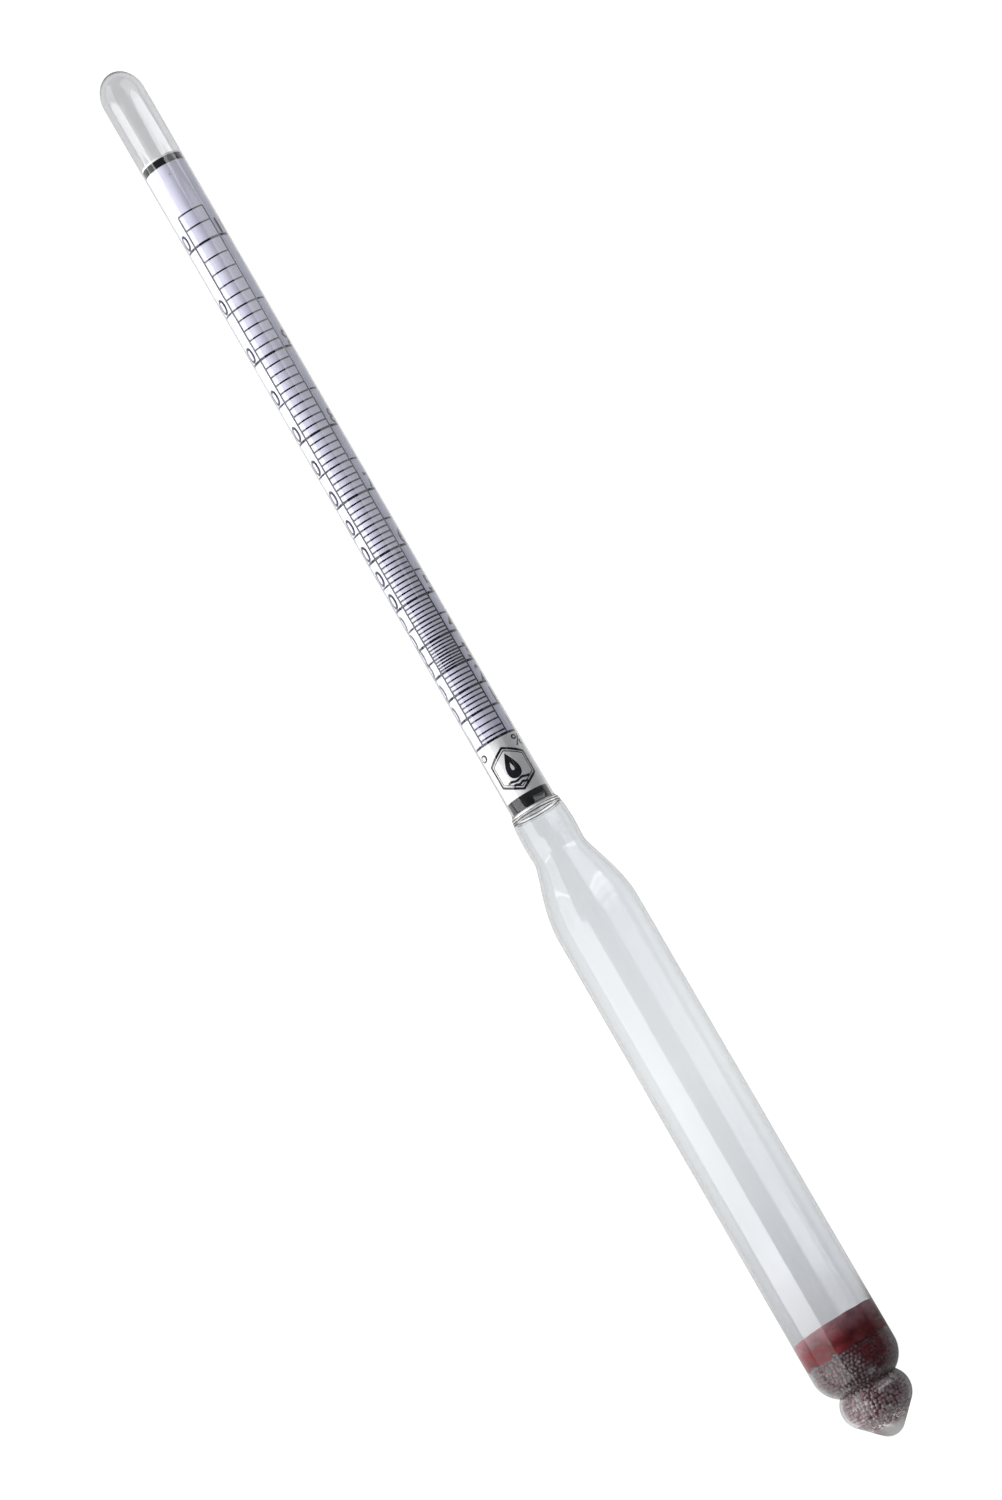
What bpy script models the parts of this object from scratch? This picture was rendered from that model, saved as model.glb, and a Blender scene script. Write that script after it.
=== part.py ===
"""A glass spirit hydrometer, lying on its side, in metres with +Z up.

The instrument's axis is level and runs along +X, from the nose of the ballast knob to the tip of the stem. The
origin is on the surface that the instrument lies on, under the middle of its length. Every turned piece is
drawn as an outline of (height, radius) points in millimetres, where height is the distance from the nose.
"""

import math

import bmesh
import bpy
from mathutils.geometry import interpolate_bezier

MM = 0.001
SIDES = 24  # flats round every turned piece

# The glass envelope
LENGTH = 304.6
BODY_RADIUS = 8.86
BODY_WALL = 0.6
BODY_FOOT = 16.0  # where the straight tube turns in towards the waist
BODY_HEAD = 112.0  # where the straight tube turns in towards the neck
FOOT_ARC = 6.2  # radius of the turn at the foot
KNOB_CENTRE = 7.7
KNOB_ARC = 4.56
KNOB_WALL = 0.8
NOSE_ARC = 3.3
NOSE_WALL = 1.4
NECK_RADIUS = 5.5
NECK_WALL = 0.7
NECK_WAIST = (127.0, 5.43)
NECK_BULGE = (131.5, 5.55)
NECK_TOP = (134.3, 5.35)
SHOULDER_EASE_IN = (0.2, 0.15)  # how far along and up the neck's end keeps its line
SHOULDER_EASE_OUT = 0.42  # how far along the straight tube's end keeps its line
STEM_FOOT = 136.8
STEM_BORE = 4.15
STEM_SHOULDER = 298.8  # where the stem turns over into its dome
STEM_STATIONS = (
    (296.0, 4.6),
    (254.0, 4.48),
    (194.0, 4.45),
    (151.0, 4.58),
    (138.5, 4.7),
    (STEM_FOOT, 4.95),
)
DOME_WALL = 0.8
BEAD_FROM = 134.6
BEAD_TO = 136.5
BEAD_RADII = (5.05, 5.25)  # at its top and at its foot
BEAD_BORES = (4.2, 4.5)
BEAD_RIDGES = 3
BEAD_RIDGE = 0.07

# What the stem holds
PAPER_FROM = 136.5
PAPER_TO = 284.1
PAPER_BORE = 3.6
PAPER_THICKNESS = 0.15
PAPER_SLIT = math.radians(15)
BAND_BORE = 3.85
BAND_THICKNESS = 0.2
BAND_HEIGHTS = {"upper_band": (282.1, 283.6), "lower_band": (136.9, 139.5)}

# What the float holds
CLEARANCE = 0.2
SHOT_TOP = 18.1
PELLET_RADIUS = 0.45
PELLET_COUNT = 42
WAX_TOP = 24.2
MENISCUS = 0.6

COLOURS = {
    "glass": ((0.86, 0.89, 0.90), 0.03, 0.0),
    "paper": ((0.80, 0.79, 0.86), 0.7, 0.0),
    "black_band": ((0.03, 0.03, 0.035), 0.3, 0.0),
    "red_wax": ((0.32, 0.03, 0.04), 0.4, 0.0),
    "lead_shot": ((0.27, 0.24, 0.25), 0.45, 0.8),
}


def clear_scene():
    for obj in list(bpy.data.objects):
        bpy.data.objects.remove(obj, do_unlink=True)


def make_material(name, colour, roughness, metallic):
    material = bpy.data.materials.new(name)
    material.use_nodes = True
    shader = material.node_tree.nodes["Principled BSDF"]
    shader.inputs["Base Color"].default_value = (*colour, 1.0)
    shader.inputs["Roughness"].default_value = roughness
    shader.inputs["Metallic"].default_value = metallic
    if name == "glass":
        shader.inputs["Transmission Weight"].default_value = 1.0
    return material


def arc(height, radius, size, start, end, steps):
    """Points on a circle about (height, radius). Angles are in degrees, 0 towards the tip and 90 outwards."""
    angles = [math.radians(start + (end - start) * i / steps) for i in range(steps + 1)]
    return [(height + size * math.cos(t), radius + size * math.sin(t)) for t in angles]


def shoulder(head, neck, steps=10):
    """The long turn from the neck down to the straight tube, both given as (height, radius)."""
    reach = neck[0] - head[0]
    along, up = SHOULDER_EASE_IN
    knots = (
        (neck[0], neck[1], 0.0),
        (neck[0] - along * reach, neck[1] + up * (head[1] - neck[1]), 0.0),
        (head[0] + SHOULDER_EASE_OUT * reach, head[1], 0.0),
        (head[0], head[1], 0.0),
    )
    return [(p[0], p[1]) for p in interpolate_bezier(*knots, steps + 1)]


def foot_and_knob(foot_inset, knob_inset, nose_inset):
    """The float's lower end from the straight tube to the axis, drawn this far inside the glass's outer face."""
    foot_size = FOOT_ARC - foot_inset
    knob_size = KNOB_ARC - knob_inset
    centre_radius = BODY_RADIUS - FOOT_ARC
    gap = BODY_FOOT - KNOB_CENTRE
    waist = KNOB_CENTRE + (knob_size**2 - foot_size**2 + gap**2) / (2 * gap)
    foot_end = math.degrees(math.acos((waist - BODY_FOOT) / foot_size))
    knob_start = math.degrees(math.acos((waist - KNOB_CENTRE) / knob_size))
    nose_size = NOSE_ARC - nose_inset
    return (
        arc(BODY_FOOT, centre_radius, foot_size, 90, foot_end, 7)
        + arc(KNOB_CENTRE, centre_radius, knob_size, knob_start, 135, 8)[1:]
        + arc(NOSE_ARC, 0.0, nose_size, 135, 180, 4)
    )


def new_piece(name, mesh, material, parent):
    mesh.shade_smooth()
    mesh.set_sharp_from_angle(angle=math.radians(35))
    if not mesh.materials:
        mesh.materials.append(material)
    piece = bpy.data.objects.new(name, mesh)
    bpy.context.scene.collection.objects.link(piece)
    piece.parent = parent
    return piece


def revolve(name, outline, closed, material, parent, sweep=math.tau):
    """Turns an outline of (height, radius) about the axis, with one flat facing straight down."""
    corner = 1 / math.cos(math.pi / SIDES)
    form = bmesh.new()
    points = [form.verts.new((r * corner * MM, 0.0, h * MM)) for h, r in outline]
    ends = points[1:] + points[:1] if closed else points[1:]
    edges = [form.edges.new(pair) for pair in zip(points, ends)]
    steps = round(SIDES * sweep / math.tau)
    bmesh.ops.spin(
        form, geom=points + edges, axis=(0, 0, 1), cent=(0, 0, 0), angle=sweep, steps=steps
    )
    bmesh.ops.remove_doubles(form, verts=form.verts[:], dist=1e-7)
    bmesh.ops.holes_fill(form, edges=form.edges[:], sides=len(outline))
    bmesh.ops.recalc_face_normals(form, faces=form.faces[:])
    mesh = bpy.data.meshes.new(name)
    form.to_mesh(mesh)
    form.free()
    piece = new_piece(name, mesh, material, parent)
    piece.location.z = -LENGTH / 2 * MM
    piece.rotation_euler.z = math.pi / SIDES
    return piece


def sleeve(low, high, bore, thickness):
    return [(high, bore + thickness), (low, bore + thickness), (low, bore), (high, bore)]


def stem_outline():
    """Tube with a closed, domed tip and an open foot. Both ends of the outline are on the axis."""
    radius = STEM_STATIONS[0][1]
    outer_rise = LENGTH - STEM_SHOULDER
    inner_rise = outer_rise - DOME_WALL
    turns = [math.radians(15 * i) for i in range(7)]
    outside = [(STEM_SHOULDER + outer_rise * math.cos(t), radius * math.sin(t)) for t in turns]
    inside = [(STEM_SHOULDER + inner_rise * math.cos(t), STEM_BORE * math.sin(t)) for t in turns]
    return outside + list(STEM_STATIONS) + [(STEM_FOOT, STEM_BORE)] + inside[::-1]


def bead_outline():
    """Ring of glass melted between the stem and the neck, with a ridge for each pass of the flame."""
    steps = 4 * BEAD_RIDGES
    top, foot = BEAD_RADII
    outside = []
    for i in range(steps + 1):
        part = i / steps
        ridge = BEAD_RIDGE * math.sin(math.pi * BEAD_RIDGES * part) ** 2
        height = BEAD_TO + (BEAD_FROM - BEAD_TO) * part
        outside.append((height, top + (foot - top) * part + ridge))
    return outside + [(BEAD_FROM, BEAD_BORES[1]), (BEAD_TO, BEAD_BORES[0])]


def float_outline():
    """The float's glass, open at the neck. Both ends of the outline are on the axis."""
    neck_bore = NECK_RADIUS - NECK_WALL
    body_bore = BODY_RADIUS - BODY_WALL
    outside = [NECK_TOP, NECK_BULGE]
    outside += shoulder((BODY_HEAD, BODY_RADIUS), NECK_WAIST) + foot_and_knob(0.0, 0.0, 0.0)
    inside = [(NECK_TOP[0], neck_bore)]
    inside += shoulder((BODY_HEAD, body_bore), (NECK_WAIST[0], neck_bore))
    inside += foot_and_knob(BODY_WALL, KNOB_WALL, NOSE_WALL)
    return inside[::-1] + outside


def wax_outline():
    """Plug run in over the shot: a dished top, a skirt down the glass, and a core inside the ring of pellets."""
    wall = BODY_RADIUS - BODY_WALL - CLEARANCE
    core = wall - 2 * PELLET_RADIUS - 2 * CLEARANCE
    skirt_foot = SHOT_TOP + 2 * PELLET_RADIUS + 2 * CLEARANCE
    dish = [(WAX_TOP + MENISCUS * (i / 5) ** 3, wall * i / 5) for i in range(6)]
    core_foot = SHOT_TOP + CLEARANCE
    return dish + [(skirt_foot, wall), (skirt_foot, core), (core_foot, core), (core_foot, 0.0)]


def shot_outline():
    """The packed shot in the knob and the foot of the float."""
    side = foot_and_knob(BODY_WALL + CLEARANCE, KNOB_WALL + CLEARANCE, NOSE_WALL + CLEARANCE)
    wall = BODY_RADIUS - BODY_WALL - CLEARANCE
    return [(SHOT_TOP, 0.0), (SHOT_TOP, wall)] + side


def make_pellets(material, parent):
    """The top course of the shot, which stands against the glass all the way round."""
    form = bmesh.new()
    bmesh.ops.create_icosphere(form, subdivisions=2, radius=PELLET_RADIUS * MM)
    mesh = bpy.data.meshes.new("shot_pellet")
    form.to_mesh(mesh)
    form.free()
    ring = (BODY_RADIUS - BODY_WALL - CLEARANCE - PELLET_RADIUS) * MM
    height = (SHOT_TOP + CLEARANCE + PELLET_RADIUS - LENGTH / 2) * MM
    for i in range(PELLET_COUNT):
        pellet = new_piece(f"shot_pellet_{i + 1:02d}", mesh, material, parent)
        turn = math.tau * i / PELLET_COUNT
        pellet.location = (ring * math.cos(turn), ring * math.sin(turn), height)


def main():
    clear_scene()
    materials = {name: make_material(name, *look) for name, look in COLOURS.items()}
    axis = bpy.data.objects.new("instrument_axis", None)
    bpy.context.scene.collection.objects.link(axis)
    axis.location.z = BODY_RADIUS * MM
    axis.rotation_euler.y = math.pi / 2

    glass = materials["glass"]
    revolve("stem_tube", stem_outline(), False, glass, axis)
    revolve("fusion_bead", bead_outline(), True, glass, axis)
    revolve("float_body", float_outline(), False, glass, axis)

    roll = sleeve(PAPER_FROM, PAPER_TO, PAPER_BORE, PAPER_THICKNESS)
    paper = revolve("scale_paper", roll, True, materials["paper"], axis, math.tau - PAPER_SLIT)
    paper.rotation_euler.z += PAPER_SLIT / 2
    for name, (low, high) in BAND_HEIGHTS.items():
        band = sleeve(low, high, BAND_BORE, BAND_THICKNESS)
        revolve(name, band, True, materials["black_band"], axis)

    revolve("wax_plug", wax_outline(), False, materials["red_wax"], axis)
    revolve("shot_bed", shot_outline(), False, materials["lead_shot"], axis)
    make_pellets(materials["lead_shot"], axis)


main()
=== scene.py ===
"""A glass spirit hydrometer lying on a pale floor, seen from above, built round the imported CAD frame.

Heights are millimetres from the nose of the ballast knob towards the tip of the stem. Turns are degrees
round the axis, 0 facing straight up and 90 towards -Y, which is to the right of the scale when the stem
points up. Lamps and the floor are placed in metres.
"""

import math
import random

import bmesh
import bpy
import numpy as np
from mathutils import Matrix, Vector, noise
from mathutils.geometry import interpolate_bezier


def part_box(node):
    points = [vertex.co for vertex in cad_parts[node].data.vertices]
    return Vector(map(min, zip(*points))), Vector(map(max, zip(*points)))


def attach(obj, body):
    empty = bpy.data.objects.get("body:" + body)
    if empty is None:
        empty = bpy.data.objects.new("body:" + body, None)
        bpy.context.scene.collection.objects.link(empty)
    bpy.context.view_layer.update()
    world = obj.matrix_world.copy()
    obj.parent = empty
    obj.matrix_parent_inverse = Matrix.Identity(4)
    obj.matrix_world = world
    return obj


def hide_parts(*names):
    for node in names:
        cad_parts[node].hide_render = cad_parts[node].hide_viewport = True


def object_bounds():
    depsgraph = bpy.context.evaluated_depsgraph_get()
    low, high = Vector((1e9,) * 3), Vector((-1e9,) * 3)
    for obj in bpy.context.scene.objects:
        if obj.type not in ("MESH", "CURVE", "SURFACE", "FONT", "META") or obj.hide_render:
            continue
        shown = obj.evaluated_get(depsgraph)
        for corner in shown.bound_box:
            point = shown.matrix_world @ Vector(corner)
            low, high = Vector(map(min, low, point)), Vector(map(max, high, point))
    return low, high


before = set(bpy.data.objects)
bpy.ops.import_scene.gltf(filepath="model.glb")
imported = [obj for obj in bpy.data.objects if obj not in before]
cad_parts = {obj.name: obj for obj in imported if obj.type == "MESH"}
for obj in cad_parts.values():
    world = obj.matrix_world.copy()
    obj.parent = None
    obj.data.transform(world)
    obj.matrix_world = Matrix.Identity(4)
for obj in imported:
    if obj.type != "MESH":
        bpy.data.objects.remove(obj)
cad_low, cad_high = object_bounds()

MM = 0.001
NOSE_X = cad_low.x
AXIS_Z = (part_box("float_body")[0].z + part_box("float_body")[1].z) / 2
LENGTH = (cad_high.x - cad_low.x) / MM
BODY_RADIUS = (cad_high.z - cad_low.z) / 2 / MM


# ---------------------------------------------------------------- camera

CAMERA_DISTANCE = 0.883
CAMERA_TILT = math.radians(8.0)  # towards the knob, so the stem runs away from the camera
CAMERA_ROLL = math.radians(30.04)
CAMERA_LENS = 110.4
CAMERA_SENSOR = 36.0
CAMERA_AIM = Vector((-0.0027, 0.0, AXIS_Z))


def make_camera():
    data = bpy.data.cameras.new("camera")
    data.lens = CAMERA_LENS
    data.sensor_width = CAMERA_SENSOR
    data.clip_start = 0.01
    camera = bpy.data.objects.new("camera", data)
    bpy.context.scene.collection.objects.link(camera)
    back = Vector((-math.sin(CAMERA_TILT), 0.0, math.cos(CAMERA_TILT)))
    along = Vector((math.cos(CAMERA_TILT), 0.0, math.sin(CAMERA_TILT)))
    across = Vector((0.0, 1.0, 0.0))
    right = -math.sin(CAMERA_ROLL) * along - math.cos(CAMERA_ROLL) * across
    up = math.cos(CAMERA_ROLL) * along - math.sin(CAMERA_ROLL) * across
    pose = Matrix((right, up, back)).transposed().to_4x4()
    pose.translation = CAMERA_AIM + CAMERA_DISTANCE * back
    camera.matrix_world = pose
    bpy.context.scene.camera = camera


# ---------------------------------------------------------------- light and floor

WHITE = (1.0, 1.0, 1.0)
COOL = (0.97, 0.98, 1.0)
WARM = (1.0, 0.99, 0.93)
DARK_STUDIO = (0.07, 0.07, 0.075, 1.0)
PALE_BACKDROP = (0.9, 0.9, 0.9, 1.0)
LAMP_DISTANCE = 0.62

# The panels on the left: where each starts and ends on X, the turn of its upper edge, and its radiance.
LEFT_PANELS = (
    (-1.0, -0.1365, -27, 1.35),
    (-0.1365, -0.128, -27, 0.6),
    (-0.128, -0.095, -27, 4.0),
    (-0.095, -0.04, -27, 2.75),
    (-0.04, 0.04, -27, 2.2),
    (0.04, 0.298, -41, 2.0),
    (0.298, 0.313, -41, 1.2),
    (0.313, 0.35, -41, 3.8),
    (0.35, 1.3, -41, 1.5),
)
LEFT_LOWER_EDGE = -88
# The panels on the right: where each starts and ends on X, and its radiance.
RIGHT_PANELS = (
    (0.10, 0.16, 0.6),
    (0.16, 0.24, 1.6),
    (0.24, 0.298, 2.4),
    (0.298, 0.313, 1.4),
    (0.313, 0.35, 3.2),
    (0.35, 1.0, 1.0),
)
RIGHT_EDGES = (20, 86)  # the turns of their upper and lower edges

FLOOR_SIZE = 6.0
FLOOR_GREY = (0.2, 0.2, 0.2, 1.0)
FLOOR_GLOW = 0.92  # where the camera sees it directly
THROUGH_GLASS = (0.92, 0.25)  # seen through glass, near the instrument and far from it
THROUGH_RUN = (0.35, 1.3)  # the distances from the origin between which that falls
MIRRORED = (0.66, 0.12)  # seen in a reflection, near the axis and far from it
MIRRORED_RUN = (0.02, 0.2)  # the distances from the axis between which that falls
FOOT_SHADE = 0.12  # how much of the reflection is left beside the foot of the float, on the -Y side
FOOT_SHADE_RUN = (-0.131, -0.120)  # where on X the shade ends

# Sockets of the Mix node, which carries one set for each type of data.
MIX_FACTOR = 0
MIX_NUMBERS = (2, 3)
MIX_NUMBER_OUT = 0
MIX_COLOURS = (6, 7)
MIX_COLOUR_OUT = 2


def panel(name, near, far, along, radiance, colour, mirrored=True):
    """A rectangular lamp that faces the axis.

    near and far are the turns that its two long edges reach, and along is where it starts and ends on X.
    One that isn't mirrored lights only matt surfaces.
    """
    half = math.radians(abs(far - near)) / 2
    width = 2 * LAMP_DISTANCE * math.tan(half)
    length = along[1] - along[0]
    middle = math.radians((near + far) / 2)
    data = bpy.data.lights.new(name, "AREA")
    data.shape = "RECTANGLE"
    data.size = length
    data.size_y = width
    data.energy = radiance * math.pi * length * width
    data.color = colour
    lamp = bpy.data.objects.new(name, data)
    bpy.context.scene.collection.objects.link(lamp)
    lamp.visible_camera = False
    lamp.visible_glossy = mirrored
    lamp.visible_transmission = mirrored
    back = Vector((0.0, -math.sin(middle), math.cos(middle)))
    side = Vector((1.0, 0.0, 0.0))
    centre = Vector(((along[0] + along[1]) / 2, 0.0, AXIS_Z)) + LAMP_DISTANCE * back
    facing = Matrix((side, back.cross(side), back)).transposed()
    lamp.matrix_world = Matrix.Translation(centre) @ facing.to_4x4()


def make_world():
    """A dark studio round the lamps. Only the plain backdrop that the camera sees directly is pale."""
    world = bpy.data.worlds.new("studio")
    world.use_nodes = True
    tree = world.node_tree
    path = tree.nodes.new("ShaderNodeLightPath")
    mixer = tree.nodes.new("ShaderNodeMix")
    mixer.data_type = "RGBA"
    mixer.inputs[MIX_COLOURS[0]].default_value = DARK_STUDIO
    mixer.inputs[MIX_COLOURS[1]].default_value = PALE_BACKDROP
    tree.links.new(path.outputs["Is Camera Ray"], mixer.inputs[MIX_FACTOR])
    tree.links.new(mixer.outputs[MIX_COLOUR_OUT], tree.nodes["Background"].inputs["Color"])
    bpy.context.scene.world = world


def make_lights():
    """Soft panels on both sides, which show in the glass as long pale bands, and lamps for the paper."""
    for start, end, near, radiance in LEFT_PANELS:
        panel(f"left_{start}", near, LEFT_LOWER_EDGE, (start, end), radiance, WHITE)
    for start, end, radiance in RIGHT_PANELS:
        panel(f"right_{start}", *RIGHT_EDGES, (start, end), radiance, COOL)
    panel("right_foot", 28, 62, (-0.125, -0.085), 0.9, COOL)
    panel("right_nose", 26, 64, (-2.2, -0.95), 0.8, COOL)
    panel("paper_light", -64, -88, (-0.08, 0.48), 23.0, WARM, mirrored=False)
    panel("top_light", -20, 50, (-0.3, 0.25), 1.15, WHITE, mirrored=False)


def glow_over_floor(tree):
    """How brightly the floor shines: most where it is seen directly, less through glass or mirrored."""
    spot = tree.nodes.new("ShaderNodeTexCoord").outputs["Object"]
    parts = tree.nodes.new("ShaderNodeSeparateXYZ")
    tree.links.new(spot, parts.inputs["Vector"])

    def combined(operation, *values):
        node = tree.nodes.new("ShaderNodeMath")
        node.operation = operation
        for socket, value in zip(node.inputs, values):
            tree.links.new(value, socket)
        return node.outputs["Value"]

    def eased(source, run, low, high):
        node = tree.nodes.new("ShaderNodeMapRange")
        node.interpolation_type = "SMOOTHSTEP"
        node.inputs["From Min"].default_value = run[0]
        node.inputs["From Max"].default_value = run[1]
        node.inputs["To Min"].default_value = low
        node.inputs["To Max"].default_value = high
        tree.links.new(source, node.inputs["Value"])
        return node.outputs["Result"]

    def joined(choice, one, two):
        node = tree.nodes.new("ShaderNodeMix")
        for place_in, value in zip((MIX_FACTOR, *MIX_NUMBERS), (choice, one, two)):
            if isinstance(value, float):
                node.inputs[place_in].default_value = value
            else:
                tree.links.new(value, node.inputs[place_in])
        return node.outputs[MIX_NUMBER_OUT]

    away = tree.nodes.new("ShaderNodeVectorMath")
    away.operation = "LENGTH"
    tree.links.new(spot, away.inputs[0])
    through = eased(away.outputs["Value"], THROUGH_RUN, *THROUGH_GLASS)
    shade = eased(parts.outputs["X"], FOOT_SHADE_RUN, FOOT_SHADE, 1.0)
    open_side = eased(parts.outputs["Y"], (-0.003, 0.003), 0.0, 1.0)
    falling = eased(combined("ABSOLUTE", parts.outputs["Y"]), MIRRORED_RUN, *MIRRORED)
    mirrored = combined("MULTIPLY", combined("MAXIMUM", shade, open_side), falling)
    path = tree.nodes.new("ShaderNodeLightPath")
    seen = joined(path.outputs["Glossy Depth"], through, mirrored)
    return joined(path.outputs["Is Camera Ray"], seen, FLOOR_GLOW)


def make_floor():
    form = bmesh.new()
    bmesh.ops.create_grid(form, x_segments=1, y_segments=1, size=FLOOR_SIZE)
    mesh = bpy.data.meshes.new("floor")
    form.to_mesh(mesh)
    form.free()
    floor = bpy.data.objects.new("floor", mesh)
    bpy.context.scene.collection.objects.link(floor)
    material = bpy.data.materials.new("floor")
    material.use_nodes = True
    tree = material.node_tree
    shader = tree.nodes["Principled BSDF"]
    shader.inputs["Base Color"].default_value = FLOOR_GREY
    shader.inputs["Roughness"].default_value = 0.8
    shader.inputs["Specular IOR Level"].default_value = 0.0
    shader.inputs["Emission Color"].default_value = (*WHITE, 1.0)
    tree.links.new(glow_over_floor(tree), shader.inputs["Emission Strength"])
    mesh.materials.append(material)


# ---------------------------------------------------------------- shapes


def smooth_run(stations, step=0.4):
    """A Catmull-Rom curve through (height, radius) stations, as points about this far apart."""
    knots = [stations[0], *stations, stations[-1]]
    run = []
    for a, b, c, d in zip(knots, knots[1:], knots[2:], knots[3:]):
        count = max(1, round(math.dist(b, c) / step))
        for i in range(count):
            t = i / count
            weights = (
                (-t + 2 * t * t - t**3) / 2,
                (2 - 5 * t * t + 3 * t**3) / 2,
                (t + 4 * t * t - 3 * t**3) / 2,
                (-t * t + t**3) / 2,
            )
            near = (a, b, c, d)
            run.append(tuple(sum(w * p[k] for w, p in zip(weights, near)) for k in (0, 1)))
    return run + [tuple(stations[-1])]


def arc(height, radius, size, start, end, steps):
    """Points on a circle about (height, radius). Angles are in degrees, 0 towards the tip, 90 outwards."""
    angles = [math.radians(start + (end - start) * i / steps) for i in range(steps + 1)]
    return [(height + size * math.cos(t), radius + size * math.sin(t)) for t in angles]


def place(height, turn, radius):
    """World point at a height and a radius in millimetres and a turn in degrees."""
    angle = math.radians(turn)
    return (
        NOSE_X + height * MM,
        -radius * MM * math.sin(angle),
        AXIS_Z + radius * MM * math.cos(angle),
    )


def new_piece(name, form, material, slot, *replaced, sharp=40):
    mesh = bpy.data.meshes.new(name)
    form.to_mesh(mesh)
    form.free()
    mesh.shade_smooth()
    mesh.set_sharp_from_angle(angle=math.radians(sharp))
    mesh.materials.append(material)
    piece = bpy.data.objects.new(name, mesh)
    bpy.context.scene.collection.objects.link(piece)
    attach(piece, "root")
    if replaced:
        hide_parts(*replaced)
    return piece


def revolve(outline, closed, sides=160, ripple=None):
    """Turns an outline of (height, radius) about the axis.

    ripple(height, turn, radius) is what each point adds to its radius.
    """
    form = bmesh.new()
    rings = []
    for height, radius in outline:
        if radius < 1e-6:
            rings.append([form.verts.new(place(height, 0.0, 0.0))] * sides)
            continue
        ring = []
        for i in range(sides):
            turn = 360.0 * i / sides
            extra = ripple(height, turn, radius) if ripple else 0.0
            ring.append(form.verts.new(place(height, turn, radius + extra)))
        rings.append(ring)
    pairs = list(zip(rings, rings[1:]))
    if closed:
        pairs.append((rings[-1], rings[0]))
    for one, two in pairs:
        for i in range(sides):
            j = (i + 1) % sides
            corners = list(dict.fromkeys((one[i], one[j], two[j], two[i])))
            if len(corners) > 2:
                form.faces.new(corners)
    bmesh.ops.recalc_face_normals(form, faces=form.faces[:])
    return form


# ---------------------------------------------------------------- materials


class Nodes:
    """Short words for building a node tree."""

    def __init__(self, name):
        self.material = bpy.data.materials.new(name)
        self.material.use_nodes = True
        self.tree = self.material.node_tree
        self.shader = self.tree.nodes["Principled BSDF"]
        self.output = self.tree.nodes["Material Output"]
        self.position = self.tree.nodes.new("ShaderNodeTexCoord").outputs["Object"]

    def set(self, **values):
        for name, value in values.items():
            self.shader.inputs[name.replace("_", " ")].default_value = value

    def link(self, source, target):
        self.tree.links.new(source, target)

    def stretch(self, scale):
        node = self.tree.nodes.new("ShaderNodeMapping")
        node.inputs["Scale"].default_value = scale
        self.link(self.position, node.inputs["Vector"])
        return node.outputs["Vector"]

    def noise(self, scale, detail=3.0, roughness=0.5, vector=None, distortion=0.0):
        node = self.tree.nodes.new("ShaderNodeTexNoise")
        node.inputs["Scale"].default_value = scale
        node.inputs["Detail"].default_value = detail
        node.inputs["Roughness"].default_value = roughness
        node.inputs["Distortion"].default_value = distortion
        self.link(vector or self.position, node.inputs["Vector"])
        return node.outputs["Fac"]

    def ramp(self, source, *stops):
        """A colour ramp. Each stop is (place, colour)."""
        node = self.tree.nodes.new("ShaderNodeValToRGB")
        elements = node.color_ramp.elements
        elements[0].position = stops[0][0]
        elements[1].position = stops[-1][0]
        for at, _ in stops[1:-1]:
            elements.new(at)
        for element, (_, colour) in zip(elements, stops):
            element.color = (*colour, 1.0)
        self.link(source, node.inputs["Fac"])
        return node.outputs["Color"]

    def scaled(self, source, low, high, start=0.0, end=1.0):
        node = self.tree.nodes.new("ShaderNodeMapRange")
        node.inputs["From Min"].default_value = start
        node.inputs["From Max"].default_value = end
        node.inputs["To Min"].default_value = low
        node.inputs["To Max"].default_value = high
        self.link(source, node.inputs["Value"])
        return node.outputs["Result"]

    def math(self, operation, *values):
        node = self.tree.nodes.new("ShaderNodeMath")
        node.operation = operation
        for socket, value in zip(node.inputs, values):
            if isinstance(value, (int, float)):
                socket.default_value = value
            else:
                self.link(value, socket)
        return node.outputs["Value"]

    def mix(self, factor, one, two, blend="MIX"):
        node = self.tree.nodes.new("ShaderNodeMix")
        node.data_type = "RGBA"
        node.blend_type = blend
        for place_in, value in zip((MIX_FACTOR, *MIX_COLOURS), (factor, one, two)):
            socket = node.inputs[place_in]
            if isinstance(value, tuple):
                socket.default_value = (*value, 1.0)
            elif isinstance(value, (int, float)):
                socket.default_value = value
            else:
                self.link(value, socket)
        return node.outputs[MIX_COLOUR_OUT]

    def axis_value(self, axis):
        node = self.tree.nodes.new("ShaderNodeSeparateXYZ")
        self.link(self.position, node.inputs["Vector"])
        return node.outputs[axis]

    def bump(self, height, strength, distance):
        node = self.tree.nodes.new("ShaderNodeBump")
        node.inputs["Strength"].default_value = strength
        node.inputs["Distance"].default_value = distance
        self.link(height, node.inputs["Height"])
        self.link(node.outputs["Normal"], self.shader.inputs["Normal"])

    def let_lamps_through(self, tint):
        """Shadow rays pass straight through, so that lamps light what is inside the glass."""
        path = self.tree.nodes.new("ShaderNodeLightPath")
        clear = self.tree.nodes.new("ShaderNodeBsdfTransparent")
        clear.inputs["Color"].default_value = (*tint, 1.0)
        mixer = self.tree.nodes.new("ShaderNodeMixShader")
        self.link(path.outputs["Is Shadow Ray"], mixer.inputs["Fac"])
        self.link(self.shader.outputs["BSDF"], mixer.inputs[1])
        self.link(clear.outputs["BSDF"], mixer.inputs[2])
        self.link(mixer.outputs["Shader"], self.output.inputs["Surface"])


LINE_RIM = (0.68, 0.9)  # how edge-on the glass is where its narrow dark line of painted shade starts, and where it is full
FROST_ROUGHNESS = 0.6
FROST_RUN = 0.8  # the heights over which the frosting ends


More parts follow.
